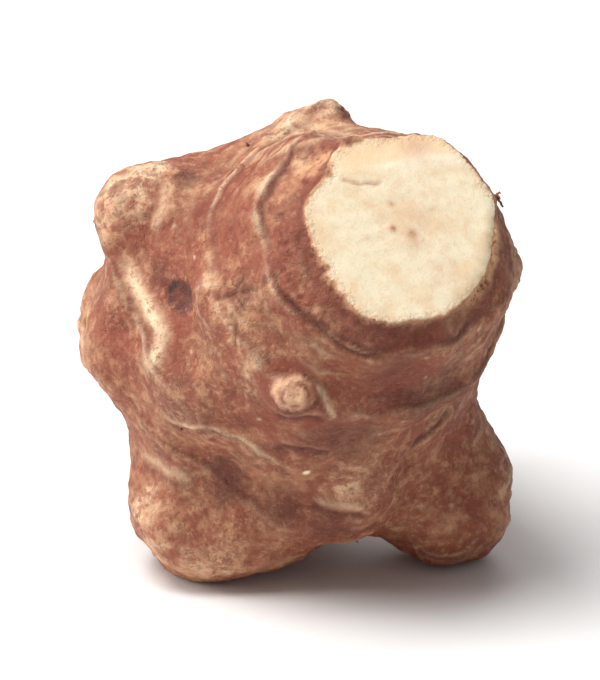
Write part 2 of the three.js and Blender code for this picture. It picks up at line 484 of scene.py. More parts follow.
def sculptScarLines():
    for i, level in enumerate(scarLines["behindCut"]):
        past = behindCut - level - 0.5 * collarWobble + 1.0 * grain(points, 6, 71 + i)
        upper = 0.05 + 0.95 * ease(points[:, 2], 64, 72)
        strength = body * upper * np.clip(0.35 + 1.3 * grain(points, 8, 81 + i), 0, 1)
        raiseSkin(strength * lip(past, scarLines["height"], scarLines["width"]))
        # a painted highlight on the line, painted shade in the crease beside it
        mark("ridge", 0.45 * strength * hump(past, 0.55))
        mark("stain_and_shade", 0.5 * strength * hump(past + 0.65, 0.5))


sculptScarLines()


def roundedLine(path, steps=5):
    # a smooth line through the places, laid onto the skin
    stops = [np.array(place, float) for place in path]
    stops = [2 * stops[0] - stops[1], *stops, 2 * stops[-1] - stops[-2]]
    line = []
    for a, b, c, d in zip(stops, stops[1:], stops[2:], stops[3:]):
        for t in np.arange(steps) / steps:
            bend = (2 * a - 5 * b + 4 * c - d) * t**2 + (3 * b - a - 3 * c + d) * t**3
            line.append(onSkin(0.5 * (2 * b + (c - a) * t + bend)))
    line.append(onSkin(stops[-2]))
    return np.array(line)


def alongLine(path, reach=6):
    # the points near a line, how far beside it they are (+ on its left), and how far along it, 0 to 1
    line = roundedLine(path)
    inBox = (points > line.min(axis=0) - reach) & (points < line.max(axis=0) + reach)
    close = np.flatnonzero(inBox.all(axis=1))
    places, facing = points[close], normals[close]
    lengths = np.linalg.norm(np.diff(line, axis=0), axis=1)
    beside = np.full(len(close), 99.0)
    share = np.zeros(len(close))
    for a, b, length, done in zip(line, line[1:], lengths, np.cumsum(lengths) - lengths):
        way = (b - a) / max(length, 0.001)
        t = np.clip((places - a) @ way, 0, length)
        offset = places - a - t[:, None] * way
        away = np.linalg.norm(offset, axis=1)
        left = np.where((offset * np.cross(facing, way)).sum(axis=1) < 0, -1, 1)
        nearer = away < np.abs(beside)
        beside = np.where(nearer, away * left, beside)
        share = np.where(nearer, (done + t) / lengths.sum(), share)
    return close, beside, share


# welts: soft raised cords in the skin (path, height, width, pale: worn crest and painted highlight)
welts = [
    (((-27.5, -6, 55.5), (-26, -8.6, 52.3), (-22.9, -12.8, 47.9), (-20.9, -15.8, 45.4), (-21.7, -16.7, 41.8),
      (-24.2, -15.2, 37.5)), 0.4, 1.4, 1.1),
    (((-19.9, -5, 67.9), (-21.1, -10, 64.2), (-23.1, -12, 59)), 0.25, 0.7, 0.6),
    (((-9.1, -6.7, 68.5), (-3.3, -5.1, 72.1), (3.9, -9.9, 75.4), (8.8, -9.9, 75.5)), 0.24, 0.9, 0.65),
    (((-9.5, 2.6, 69.4), (-5.9, 3.2, 70.9), (1.6, 1.2, 72.5), (8.8, -8.1, 75.2)), 0.2, 0.9, 0.5),
    (((-6.5, -10.5, 70.5), (-2.9, -11.7, 72.4), (0.3, -12, 74.2), (4.5, -13.2, 75.5)), 0.16, 0.7, 0.5),
    (((-22.9, -16, 34), (-20, -16.8, 31.2), (-17.4, -19.3, 31.5), (-14.4, -22.3, 32.2), (-11, -23.6, 31),
      (-8.2, -23.9, 30), (-5.4, -23.7, 27.7), (-0.6, -23.3, 25.3)), 0.22, 0.4, 0.7),
    (((-25, -6, 21), (-20, -14.2, 21.4), (-15.8, -15.2, 19.4)), 0.35, 0.9, 0.55),
    (((2.6, -32, 43.6), (3.4, -31.8, 41.6), (4.2, -31.5, 39.6), (5.6, -30.8, 37)), 0.55, 0.45, 1.0),
    (((1.5, -19.5, 19), (5.5, -20.3, 18.4), (10.5, -20.9, 18.6)), 0.3, 0.8, 0.5),
    (((27, -4, 45), (28, 0, 40), (26, 3, 34)), 0.4, 1.3, 0.4),
    (((-24, 14, 40), (-20, 21, 37), (-14, 26, 36)), 0.4, 1.4, 0.45),
    (((2, 30, 45), (-2, 30.5, 38), (-3, 29, 31)), 0.3, 1.3, 0.35),
    (((24, 14, 53), (18, 20, 54), (10, 22, 58)), 0.35, 1.1, 0.5),
    (((22, 12, 22), (16, 20, 20), (9, 24, 19)), 0.3, 1.2, 0.35),
]
# cracks: open ones are narrow and dark, folds are wide and soft (path, depth, width)
cracks = [
    (((-13.2, -24.3, 54.1), (-11.5, -25, 54.4), (-9.9, -25.2, 55.2), (-8.2, -26.6, 56.2),
      (-6.4, -27.9, 57.1)), 0.22, 0.3),
    (((-8.3, -25, 58.6), (-9, -25.2, 57), (-9.9, -25.2, 55.2), (-9, -26.3, 54),
      (-7.7, -27.1, 52.8)), 0.22, 0.3),
    (((-9.6, -26.7, 51.6), (-9.6, -27.5, 46.7)), 0.14, 0.38),
    (((-2.5, -30.5, 57.5), (-0.5, -32, 55), (3.4, -33.3, 52.6)), 0.4, 0.55),
    (((1.5, -32.8, 54), (5, -34, 50.9), (9, -34.4, 48.9), (13.5, -33.8, 49)), 0.55, 0.6),
    (((-4, -27.5, 36.2), (-1.5, -29.4, 36.8), (0.8, -30.7, 37), (4.6, -30.5, 36.4)), 0.35, 0.9),
    (((-5, -24.2, 29.3), (0.8, -25.7, 29.6), (5.6, -24.4, 28.4)), 0.45, 1.0),
    (((1, -19.4, 17.6), (6, -20.1, 16.4), (11.2, -20.7, 16.6)), 0.4, 0.9),
    (((24, 12, 56), (21, 16, 52), (20, 19, 46)), 0.28, 0.45),
    (((-12, 27, 58), (-8, 28, 54), (-6, 29, 49)), 0.25, 0.42),
    (((-22, 12, 22), (-20, 17, 20), (-16, 22, 20)), 0.35, 0.6),
    (((26, -12, 30), (22, -16, 27), (17, -18, 26)), 0.3, 0.6),
]
# the split in the flesh that starts at the rim
fissure = {
    "path": ((5.6, -21.8, 72.2), (7.6, -21.6, 71.6), (9.4, -21.1, 71.2), (11.9, -20.3, 71)),
    "depth": 0.3,
    "width": 0.32,
}


def sculptLines():
    for i, (path, height, width, pale_and_highlight) in enumerate(welts):
        close, beside, share = alongLine(path)
        wavy = beside + 0.3 * grain(points[close], 2.4, 91 + i)
        fade = skinny[close] * ease(share, 0, 0.2) * ease(-share, -1, -0.8)
        uneven = np.clip(0.9 + 0.4 * grain(points[close], 3.5, 111 + i), 0.2, 1.3)
        raiseSkin(fade * uneven * height * hump(wavy, width), close)
        # pale crest, partly a painted highlight, and painted shade in the crease beside it
        mark("ridge", pale_and_highlight * fade * np.minimum(uneven, 1) * hump(wavy, width), close)
        mark("stain_and_shade", 0.45 * fade * hump(wavy + 2.1 * width, 0.8 * width), close)
    for i, (path, depth, width) in enumerate(cracks):
        close, beside, share = alongLine(path)
        wavy = beside + 0.4 * min(1, width) * grain(points[close], 1.8, 131 + i)
        fade = skinny[close] * ease(share, 0, 0.15) * ease(-share, -1, -0.8)
        raiseSkin(-fade * depth * (hump(wavy, width) - 0.3 * hump(wavy - 1.5 * width, width)), close)
        mark("stain_and_shade", 0.95 * fade * hump(wavy, width), close)
    close, beside, share = alongLine(fissure["path"])
    inFissure = hump(beside + 0.3 * grain(points[close], 1.5, 151), fissure["width"]) * ease(share, 0, 0.2)
    raiseSkin(-fissure["depth"] * flesh[close] * inFissure, close)
    mark("fissure", inFissure, close)


sculptLines()

# side shoots: worn scale rings and a small bud at each knob's tip (heart, way to the tip, rings, bud)
shoots = [
    ((-24.6, -2, 59), (-0.85, -0.35, 0.4), (2.6, 5.2), 1.2),  # shoulder
    ((-25.6, 0, 38.5), (-0.97, 0.1, 0.1), (2.6, 5.4, 8.2), 1.4),  # flank
    ((4.4, 5, 71), (0.5, -0.1, 0.8), (1.8,), 0.8),  # crown
    ((29, -10.5, 53), (0.95, -0.2, 0.2), (1.8, 3.2, 5), 1.0),  # right bud
    ((22.9, 5, 38.5), (0.9, 0.1, -0.3), (2.6, 5), 1.2),  # right knob
    ((22.9, 1, 11), (0.8, -0.2, 0.1), (2.6, 5.6), 1.0),  # right foot
    ((-6.6, 19, 12.5), (-0.2, 0.9, -0.1), (2.6, 6), 1.1),  # back foot
    ((-17.6, 23, 50), (-0.45, 0.8, 0.35), (2.4, 4.8, 7.6), 1.3),  # back knob
    ((13.4, 25, 40), (0.45, 0.85, 0.1), (2.6, 5.4), 1.3),  # far knob
]
shootLook = {
    "reach": 14,
    "ringHeight": 0.22,
    "ringWidth": 0.5,
    "budHeight": 0.42,
    "paleFrom": (3, 9),  # pale skin round the bud fades between these
    "scars": 6,
    "scarSize": (0.7, 1.5),
    "scarHeight": 0.12,
    "seed": 5,
}


def sculptShoots():
    chance = np.random.default_rng(shootLook["seed"])
    for i, (heart, way, rings, bud) in enumerate(shoots):
        tip = np.array(skinTree.ray_cast(Vector(heart) * mm, Vector(unit(way)))[0]) / mm
        close, _ = around(tip, shootLook["reach"])
        places = points[close]
        stretch = 1 + 0.4 * grain(places, 7, 161 + i)
        away = np.linalg.norm(places - tip, axis=1) * stretch + 1.1 * grain(places, 2.8, 176 + i)
        here = skinny[close]
        for j, ring in enumerate(rings):
            strength = here * np.clip(0.3 + 1.4 * grain(places, 5.5, 191 + 5 * i + j), 0, 1)
            raiseSkin(strength * lip(away - ring, shootLook["ringHeight"], shootLook["ringWidth"]), close)
            # a painted highlight on each ring, painted shade in the crease inside it
            mark("ridge", 0.5 * strength * hump(away - ring, 0.55), close)
            mark("stain_and_shade", 0.55 * strength * hump(away - ring + 0.75, 0.5), close)
        dome = hump(away, bud) - 0.35 * hump(away - 1.5 * bud, 0.4)
        raiseSkin(here * shootLook["budHeight"] * bud * dome, close)
        # painted shade round the bud's foot
        mark("stain_and_shade", 0.4 * here * hump(away - 1.6 * bud, 0.35), close)
        mark("bud", here * np.clip(0.45 + grain(places, 1.2, 221 + i), 0, 0.8) * hump(away, 1.1 * bud), close)
        patchy = np.clip(0.7 + 1.3 * grain(places, 3.4, 251 + i), 0, 1)
        mark("pale_and_highlight", 0.8 * here * (1 - ease(away, *shootLook["paleFrom"])) * patchy, close)
        for _ in range(shootLook["scars"]):
            spot = places[chance.integers(len(places))]
            size = chance.uniform(*shootLook["scarSize"])
            near = np.linalg.norm(places - spot, axis=1) / size + 0.3 * grain(places, 1.3, 261 + i)
            rolled = hump(near - 1.2, 0.35) - 0.6 * hump(near, 0.8)
            raiseSkin(here * shootLook["scarHeight"] * size * rolled, close)
            mark("blush_and_shade", 0.9 * here * hump(near, 1.1), close)


sculptShoots()

# the front bud, a blunt dome in rings of scales with a flushed halo
frontBud = {
    "at": (-1.1, -31.6, 41.7),
    "height": 0.5,
    "dome": (1.0, 4.2),  # flat out to the first radius, gone at the second
    "lower": (1, 1, 1.2),  # its rings are lower than they are wide
    "scales": ((0.5, 1.4, 0.32), (0.3, 3.2, 0.36)),  # slipped by, radius, height
    "lipWidth": 0.36,
    "slip": unit((0.7, 0, -0.6)),  # the way the scales slip off centre
    "flushed": unit((1, 0, -0.15)),  # the side that is flushed
    "halo": unit((-0.7, 0, 0.7)),  # where the flushed halo is strongest
    "crescent": unit((-0.9, 0, 0.45)),  # where pale skin lies round the halo
}


def sculptFrontBud():
    tip = onSkin(frontBud["at"])
    close, _ = around(tip, 12)
    places = points[close]
    offset = places - tip
    away = np.linalg.norm(offset * frontBud["lower"], axis=1) + 0.3 * grain(places, 2.2, 271)
    dome = frontBud["height"] * (1 - ease(away, *frontBud["dome"]))
    raiseSkin(dome + 0.1 * grain(places, 1.5, 273) * hump(away, 3), close)
    gaps = np.zeros(len(close))
    for slipped, radius, height in frontBud["scales"]:
        seed = int(radius * 10)
        shifted = (offset - slipped * frontBud["slip"]) * frontBud["lower"]
        past = radius - np.linalg.norm(shifted, axis=1) + 0.5 * grain(places, 1.9, seed)
        broken = np.clip(0.7 + 1.3 * grain(places, 2.0, 272 + seed), 0.05, 1)
        raiseSkin(broken * lip(past, height, frontBud["lipWidth"]), close)
        # painted shade in the crease at each scale's edge
        mark("stain_and_shade", 0.25 * broken * hump(past + 0.45, 0.25), close)
        gaps = np.maximum(gaps, broken * hump(past + 0.45, 0.5))
    mottled = np.clip(0.85 + 0.7 * grain(places, 1.3, 274), 0.35, 1)
    flushed = ease(offset @ frontBud["flushed"], 1.0, 2.6)
    mark("bud", (1 - ease(away, 2.3, 3.8)) * (1 - 0.9 * gaps) * (1 - 0.6 * flushed) * mottled, close)
    mark("blush_and_shade", np.maximum(gaps, 0.6 * flushed) * (1 - ease(away, 2.6, 4)), close)
    mark("rust", 0.8 * gaps * (1 - ease(away, 2.2, 3.4)), close)
    haloed = ease(offset @ frontBud["halo"], -2.5, 2.5)
    mark("blush_and_shade", haloed * hump(away - 5.1, 1.3), close)
    mark("rust", 0.9 * haloed * hump(away - 5.2, 1.0), close)
    mark("scar", 0.5 * haloed * hump(away - 4.4, 0.5), close)
    mark("stain_and_shade", 0.7 * (1 - haloed) * hump(away - 4.2, 0.6), close)
    crescent = ease(offset @ frontBud["crescent"] / np.maximum(away, 1), 0.35, 0.95)
    patchy = np.clip(0.95 + 0.6 * grain(places, 2.2, 275), 0, 1)
    mark("pale_and_highlight", 1.25 * crescent * hump(away - 8.0, 1.9) * patchy, close)


sculptFrontBud()

# pits: sunken eyes and old wounds (place, radius, depth, wider than high by, dark, scar, char)
pits = [
    ((-18.4, -16.0, 51.1), 2.3, 0.22, 1.3, 0.8, 0.9, 1.0),
    ((13.4, 22, 58), 2.8, 0.4, 1.5, 0.6, 0.7, 0.6),
    ((27, 8, 25), 1.4, 0.2, 1.7, 0.4, 0.7, 0.4),
    ((-20, 20, 28), 2.2, 0.25, 1.3, 0.5, 0.8, 0.7),
]


def sculptPits():
    for i, (place, radius, depth, wide, dark, scar, char) in enumerate(pits):
        middle = onSkin(place)
        close, _ = around(middle, 4 * radius)
        places = points[close]
        level = unit(np.cross((0, 0, 1), normals[close].mean(axis=0)))
        sideways = (places - middle) @ level
        narrowed = places - middle - np.outer(sideways * (1 - 1 / wide), level)
        away = np.linalg.norm(narrowed, axis=1) / radius
        away = away + 0.3 * grain(places, 1.6, 281 + i) + 0.15 * grain(places, 0.7, 291 + i)
        inside = 1 - ease(away, 0.4, 1.05)
        raiseSkin(-depth * (hump(away - 0.65, 0.35) + 0.35 * inside), close)
        raiseSkin(0.3 * depth * scar * hump(away - 1.25, 0.25), close)
        raiseSkin(scar * inside * 0.2 * grain(places, 0.8, 301 + i), close)
        ragged = np.clip(0.75 + grain(places, 1.1, 311 + i), 0, 1)
        mark("stain_and_shade", dark * ragged * np.maximum(hump(away - 0.62, 0.38), 0.5 * inside), close)
        mark("scar", scar * (1 - ease(away, 0.8, 1.3)), close)
        mark("char", char * ragged * hump(away - 0.68, 0.32), close)
        mark("blush_and_shade", inside, close)


sculptPits()

# spurs: small dark stubs of scales and roots that catch the outline (place, radius, height)
spurs = [
    ((-28, -5, 66), 0.5, 0.6),
    ((-27.4, -3, 67), 0.5, 0.4),
    ((-31.4, -3.6, 58.6), 0.5, 0.5),
    ((-26.3, -8.3, 13.2), 0.55, 0.6),
    ((-22.8, -12.2, 6.4), 0.5, 0.5),
    ((28, 12, 34), 0.8, 0.8),
    ((14, 28, 50), 0.7, 0.8),
    ((-18, 27, 56), 0.7, 0.7),
    ((2, 31, 20), 0.7, 0.7),
]


def sculptSpurs():
    for i, (place, radius, height) in enumerate(spurs):
        close, away = around(onSkin(place), 3 * radius)
        away = away + 0.25 * grain(points[close], 0.9, 411 + i)
        raiseSkin(height * hump(away, radius), close)
        mark("scar", 0.9 * hump(away, 1.2 * radius), close)


sculptSpurs()

# what is scattered all over: scale scars, warts and breathing pores
scattered = {
    "seed": 7,
    "scaleScars": 60,
    "scarLength": (1.5, 4.5),
    "scarHeight": 0.16,
    "scarWidth": 0.38,
    "scarTilt": 0.35,
    "warts": 360,
    "wartHeight": 0.2,
    "pittedShare": 0.4,  # of the warts, with a root's stub in the pit
    "pores": 420,
    "darkShare": 0.8,  # of the pores; the others are pale
}


def sculptScattered():
    chance = np.random.default_rng(scattered["seed"])
    choices = np.flatnonzero(rim < -2)
    for start in chance.choice(choices, scattered["scaleScars"], replace=False):
        place, facing = points[start], normals[start]
        acrossWay = np.cross(growth["along"], facing)
        if np.linalg.norm(acrossWay) < 0.2:
            continue
        acrossWay = unit(unit(acrossWay) + scattered["scarTilt"] * chance.normal(size=3))
        towardsCut = np.cross(facing, acrossWay)
        length = chance.uniform(*scattered["scarLength"])
        height = scattered["scarHeight"] * chance.uniform(0.4, 1)
        close, _ = around(place, 1.7 * length)
        offset = points[close] - place
        a, b = offset @ acrossWay, offset @ towardsCut
        past = a**2 / (2 * chance.uniform(3, 9)) - b + 0.35 * grain(points[close], 1.6, int(start) % 97)
        strength = skinny[close] * np.exp(-((a / length) ** 4)) * hump(b, length)
        raiseSkin(strength * lip(past, height, scattered["scarWidth"]), close)
        # a painted highlight on the scar's lip, painted shade in the crease before it
        mark("ridge", 0.25 * strength * hump(past, 0.4), close)
        mark("stain_and_shade", 0.4 * strength * hump(past + 0.6, 0.4), close)
    for start in chance.choice(choices, scattered["warts"], replace=False):
        radius = 0.45 + 0.55 * chance.random() ** 3
        height = scattered["wartHeight"] * chance.uniform(0.3, 1) * min(radius, 0.9)
        close, away = around(points[start], 2.2 * radius)
        r = away / radius
        pitted = chance.random() < scattered["pittedShare"]
        raiseSkin(height * (hump(r, 0.75) - (0.9 * hump(r, 0.3) if pitted else 0)), close)
        mark("scar", 0.6 * (hump(r - 1.2, 0.4) if pitted else hump(r, 0.85)), close)
        if pitted:
            # painted shade in the pit
            mark("stain_and_shade", 0.7 * hump(r, 0.4), close)
            mark("roots", hump(r, 0.6), close)
    for start in chance.choice(choices, scattered["pores"], replace=False):
        close, away = around(points[start], 0.8)
        name = "scar" if chance.random() < scattered["darkShare"] else "ridge"
        mark(name, chance.uniform(0.3, 0.7) * hump(away, 0.36), close)
    marks["roots"] *= marks["ridge"] < 0.3  # none on the worn crests


sculptScattered()

# tints: soft patches where the skin is flushed, pale, filmed with dry soil or dark (place, reach, amount); a
# few flushed and dark ones are painted shade, and one pale one a painted highlight
tints = [
    # the flushed patches at (12, -33, 52) and (16, -32, 42), under the neck, are painted shade
    ("blush_and_shade", [((-19.5, -12, 58.5), 6, 0.9), ((-6.5, -26, 62), 4, 0.7), ((-9.5, -15, 66), 5, 0.9),
               ((0, -31.5, 56), 6, 1.0), ((12, -33, 52), 9, 0.8), ((-4.5, -28, 36), 5.5, 0.9),
               ((-28.5, -10, 41), 4.5, 0.9), ((-19, -17, 45), 6, 0.6), ((2, -21, 14), 7, 0.7),
               ((10, 20, 55), 9, 0.7), ((-6, 28, 35), 9, 0.7), ((26, 2, 28), 7, 0.7),
               ((-9, -20, 63), 5, 1.0), ((-13, -12, 63), 5, 1.0), ((-15, -18, 55), 4, 0.8),
               ((16, -32, 42), 9, 1.0), ((4, -29, 36), 6, 0.9), ((2, -24, 32), 6, 0.8)]),
    ("rust", [((-22.7, -6, 64.8), 2.2, 0.8), ((-28.4, -8, 58.7), 1.6, 1.0), ((-25.6, -7, 62.6), 1.3, 1.0),
              ((-20.7, -4.5, 65.6), 1.6, 0.8), ((-29.8, -5, 61.5), 1.2, 0.8),
              ((-25.2, -8.5, 58), 2.0, 0.8)]),
    ("stain_and_shade", [((-17.1, -4, 66.3), 2.2, 0.8)]),
    ("scar", [((2.7, 4.5, 74), 1.9, 0.9), ((6.3, 4, 72.9), 2.4, 1.0)]),
    # the dark patch at (-15, -12, 63) is painted shade that tones down a brightly lit place
    ("stain_and_shade", [((6.3, 4, 72.9), 1.7, 0.7), ((-15, -12, 63), 6, 0.3)]),
    ("blush_and_shade", [((2.5, 3, 74), 2.2, 0.9), ((6.8, 4, 72), 2, 0.9)]),
    ("nick", [((1.1, -23, 24.9), 0.45, 1.0), ((-16.7, -17, 58.2), 0.3, 0.5)]),
    ("pale_and_highlight", [((4, 3, 75), 6, 1.4), ((-27, -6, 65), 7, 1.35), ((-23, -2, 67), 6, 1.3),
              ((-13.6, -22, 56.4), 3.4, 1.0), ((-11.9, -25.3, 52.6), 3.4, 1.0), ((-16, -14, 7), 9, 0.8),
              # the pale patch at (7, -21.5, 22) is a painted highlight on the top of the low lobe
              ((-23, -11, 14), 6, 1.0), ((-21.5, -13, 8), 5, 0.9), ((7, -21.5, 22), 5, 0.9),
              ((-31, -6, 33), 6, 0.6), ((-2, 1, 72), 7, 1.1), ((-6, -18, 70.6), 2.4, 0.5),
              ((-11, -13, 6), 3.5, 0.9)]),
    ("rust", [((-19, -12.5, 7.5), 2.6, 0.7), ((-14.7, -14, 10.6), 3, 0.6), ((-22.5, -11, 17), 3, 0.6),
              ((-6.5, -15, 10.5), 2.6, 0.6)]),
    ("pale_and_highlight", [((-6, -7, 71), 4, 0.5), ((-19, -8, 66), 4, 0.6), ((-28, -9, 60), 4, 0.8),
              ((0.3, -17.2, 72.8), 3.6, 1.0)]),
    ("thin", [((0.3, -17.6, 72.8), 2.6, 0.6), ((-1.2, -20.3, 70.6), 2.2, 0.4),
              ((3.0, -17.6, 74.2), 2.4, 0.75), ((2.2, -19.6, 72.2), 1.6, 0.6)]),
    ("stain_and_shade", [((-5.2, -28.8, 58.7), 0.9, 0.8)]),
    ("pale_and_highlight", [((20, 28, 44), 6, 0.8)]),
    ("film", [((-8, -27, 55), 6, 1.0), ((-13, -22, 46), 5, 0.8), ((-4, -30, 50), 5, 0.7),
              ((-14, -3, 68), 5, 0.8), ((-8, -20, 28), 5, 0.8), ((-26, -10, 47), 4, 0.7),
              ((-17, -20, 35), 8, 0.9), ((-31, -3, 48), 5, 0.8), ((8, -22, 23), 7, 0.7),
              ((-20, -13, 22), 6, 0.6), ((5, 28, 30), 9, 0.8), ((27, -8, 38), 8, 0.7)]),
    ("stain_and_shade", [((-11.2, -16.8, 23.2), 4.4, 0.8), ((-11.0, -16.2, 19.4), 4, 0.75)]),
    ("scar", [((-11.2, -16.6, 21.6), 3.6, 0.6)]),
    ("stain_and_shade", [((-2.6, -18.4, 17), 4.6, 0.5)]),
    ("scar", [((-2.6, -18.4, 17), 4, 0.5)]),
    ("stain_and_shade", [((-2.7, -22.1, 24.5), 2, 0.5), ((-21.5, -12.5, 53.4), 3, 0.6),
                # the dark patches from (8, -26, 33) on, low on the right, are painted shade
                ((-17.5, -5.5, 65.3), 2.4, 0.55), ((8, -26, 33), 8, 0.7), ((20, -25, 38), 10, 0.75),
                ((14, -31, 46), 6, 0.5), ((3, -26, 33), 4, 0.5), ((6, -19, 13), 6, 0.6)]),
]


def paintTints():
    seeds = itertools.count(321)
    for name, patches in tints:
        for place, reach, amount in patches:
            seed = next(seeds)
            close, away = around(onSkin(place), 1.7 * reach)
            places = points[close]
            ragged = 0.28 * reach * grain(places, 0.55 * reach, seed)
            away = away + ragged + 0.5 * grain(places, 1.3, seed + 50)
            mark(name, amount * skinny[close] * (1 - ease(away, 0.25 * reach, 1.15 * reach)), close)


paintTints()

points = points + lift[:, None] * normals
points[:, 2] = np.maximum(points[:, 2], 0)  # the feet press flat on the table
writePoints(tuberMesh, points)
print("sculpted: from", round(lift.min(), 2), "to", round(lift.max(), 2), "mm")

bulges = {"fine": 8, "broad": 60}  # passes of blur that tell small bumps and wide ones
# reddish spots in the flesh: place, reach, amount
pithSpots = (
    ((14.0, -24.2, 65.3), 0.55, 0.9), ((16.9, -23.8, 64.4), 0.6, 0.7), ((13.8, -21.7, 68.3), 0.4, 0.5),
    ((16.9, -24.7, 63.2), 1.4, 0.22), ((18.6, -24.3, 63.6), 0.45, 0.4), ((17.5, -14.4, 74.5), 2.4, 0.34),
    ((16.8, -22.5, 66), 5.0, 0.12), ((21.4, -26.8, 58.6), 2.2, 0.16), ((10, -26.5, 64.5), 0.35, 0.3),
    ((20, -20.5, 67), 0.35, 0.3), ((16.4, -19.6, 69.6), 0.4, 0.3),
)


def bulge(passes):
    # how far each point stands out from its surroundings
    settled = blur(points, ends, passes)
    return ((points - settled) * readNormals(tuberMesh)).sum(axis=1)


def finishMarks():
    fineBulge, broadBulge = bulge(bulges["fine"]), bulge(bulges["broad"])
    share = skinny * (0.35 + 0.65 * ease(behindCut, 3, 7))  # less beside the rim
    # painted light by curvature: highlights on small bumps and broad swells, shade in small and broad dips
    mark("ridge", 0.3 * ease(fineBulge, 0.08, 0.24) * share)
    mark("stain_and_shade", 0.4 * ease(-fineBulge, 0.07, 0.2) * share)
    mark("pale_and_highlight", 0.75 * ease(broadBulge, 0.15, 0.9) * skinny)
    mark("blush_and_shade", 0.5 * ease(-broadBulge, 0.0, 0.5) * skinny)
    mark("stain_and_shade", 0.45 * ease(-broadBulge, 0.15, 0.9) * skinny)
    marks["rim"] = rim
    # a painted highlight along the fold between the knife's two faces
    marks["fold_highlight"] = flesh * hump(foldAway + 0.3 * grain(points, 3, 402), 0.26) * ease(knifeAcross, -9, 4)
    marks["pared"] = flesh * ease(foldAway, 0, 0.3)
    marks["pith"] = sum(amount * hump(distanceTo(place), reach) for place, reach, amount in pithSpots)
    for name, values in marks.items():
        writeMark(tuberMesh, name, values)
    print("marks:", ", ".join(marks))


finishMarks()


# materials

def rgb(red, green, blue):
    # a colour as seen, 0 to 255, in the linear values that shaders work in
    def linear(c):
        c /= 255
        return c / 12.92 if c <= 0.04045 else ((c + 0.055) / 1.055) ** 2.4
    return (linear(red), linear(green), linear(blue), 1)


def addNode(tree, kind, inputs=None, **settings):
    made = tree.nodes.new(kind)
    for name, value in settings.items():
        setattr(made, name, value)
    for name, value in (inputs or {}).items():
        if isinstance(value, bpy.types.NodeSocket):
            tree.links.new(value, made.inputs[name])
        else:
            made.inputs[name].default_value = value
    return made


def attribute(tree, name):
    return addNode(tree, "ShaderNodeAttribute", attribute_name=name).outputs["Fac"]


# the helpers below put their node in the tree of the sockets that they are given

def maths(operation, a, b, clamp=False):
    tree = (a if isinstance(a, bpy.types.NodeSocket) else b).id_data
    return addNode(tree, "ShaderNodeMath", {0: a, 1: b}, operation=operation, use_clamp=clamp).outputs[0]


def times(first, *others):
    for other in others:
        first = maths("MULTIPLY", first, other)
    return first


def between(value, low, high):
    # 0 at `low`, 1 at `high`
    found = addNode(value.id_data, "ShaderNodeMapRange", {"Value": value, "From Min": low, "From Max": high},
                    interpolation_type="SMOOTHSTEP")
    return found.outputs["Result"]


def over(under, top, *masks):
    # one colour laid over another, where all the masks let it
    mask = times(*masks)
    return addNode(mask.id_data, "ShaderNodeMix", {0: mask, 6: under, 7: top}, data_type="RGBA").outputs[2]


def scaled(where, amount):
    scale = addNode(where.id_data, "ShaderNodeVectorMath", {0: where, 3: amount}, operation="SCALE")
    return scale.outputs[0]


def noise(where, size, detail=2.0, rough=0.5):
    # `where` is in millimetres, and so is size
    inputs = {"Vector": where, "Scale": 1 / size, "Detail": detail, "Roughness": rough}
    return addNode(where.id_data, "ShaderNodeTexNoise", inputs).outputs["Fac"]


def newPattern(name, masks, heights):
    # a group that turns places and masks into a colour and heights
    tree = bpy.data.node_groups.new(name, "ShaderNodeTree")
    sockets = [("Where", "INPUT", "Vector"), *((mask, "INPUT", "Float") for mask in masks),
               ("Color", "OUTPUT", "Color"), *((height, "OUTPUT", "Float") for height in heights)]
    for socket, way, kind in sockets:
        tree.interface.new_socket(socket, in_out=way, socket_type="NodeSocket" + kind)
    return tree, tree.nodes.new("NodeGroupInput").outputs, tree.nodes.new("NodeGroupOutput").inputs


def placePattern(tree, pattern, where, masks):
    return addNode(tree, "ShaderNodeGroup", {"Where": where} | masks, node_tree=pattern).outputs


def readMarks(tree, masks):
    # each mask has the name of a mark, with a capital
    return {mask: attribute(tree, mask.lower()) for mask in masks}


def newMaterial(name):
    made = bpy.data.materials.new(name)
    made.use_nodes = True
    return made, made.node_tree, made.node_tree.nodes["Principled BSDF"]


def millimetres(tree):
    return scaled(addNode(tree, "ShaderNodeTexCoord").outputs["Object"], 1 / mm)


def finishShader(shader, colour, roughness, height, settings):
    tree = shader.id_data
    tree.links.new(colour, shader.inputs["Base Color"])
    smoothest, roughest = settings["roughness"]
    rough = addNode(tree, "ShaderNodeMapRange", {
        "Value": roughness, "From Max": settings["roughestAt"], "To Min": smoothest, "To Max": roughest})
    tree.links.new(rough.outputs["Result"], shader.inputs["Roughness"])
    bump = addNode(tree, "ShaderNodeBump", {
        "Strength": settings["bump"], "Distance": settings["bumpHeight"] * mm, "Height": height})
    tree.links.new(bump.outputs["Normal"], shader.inputs["Normal"])
    shader.inputs["Subsurface Weight"].default_value = settings["glow"]
    shader.inputs["Subsurface Radius"].default_value = settings["glowShares"]
    shader.inputs["Subsurface Scale"].default_value = settings["glowReach"] * mm
    shader.inputs["Specular IOR Level"].default_value = settings["shine"]


fleshLook = {
    "cream": rgb(255, 238, 206),
    "deeper": rgb(242, 210, 168),
    "fold_highlight": rgb(255, 245, 222),
    "rind": rgb(226, 178, 134),
    "pith": rgb(178, 84, 46),
    "roughness": (0.28, 0.6), "roughestAt": 1.5, "bump": 0.4, "bumpHeight": 0.2, "shine": 0.5,
    "glow": 0.2, "glowReach": 2, "glowShares": (1.0, 0.7, 0.45),  # of that reach, for red, green and blue
}
fleshMasks = ("Rim", "Pith", "Fold_highlight", "Pared", "Fissure")


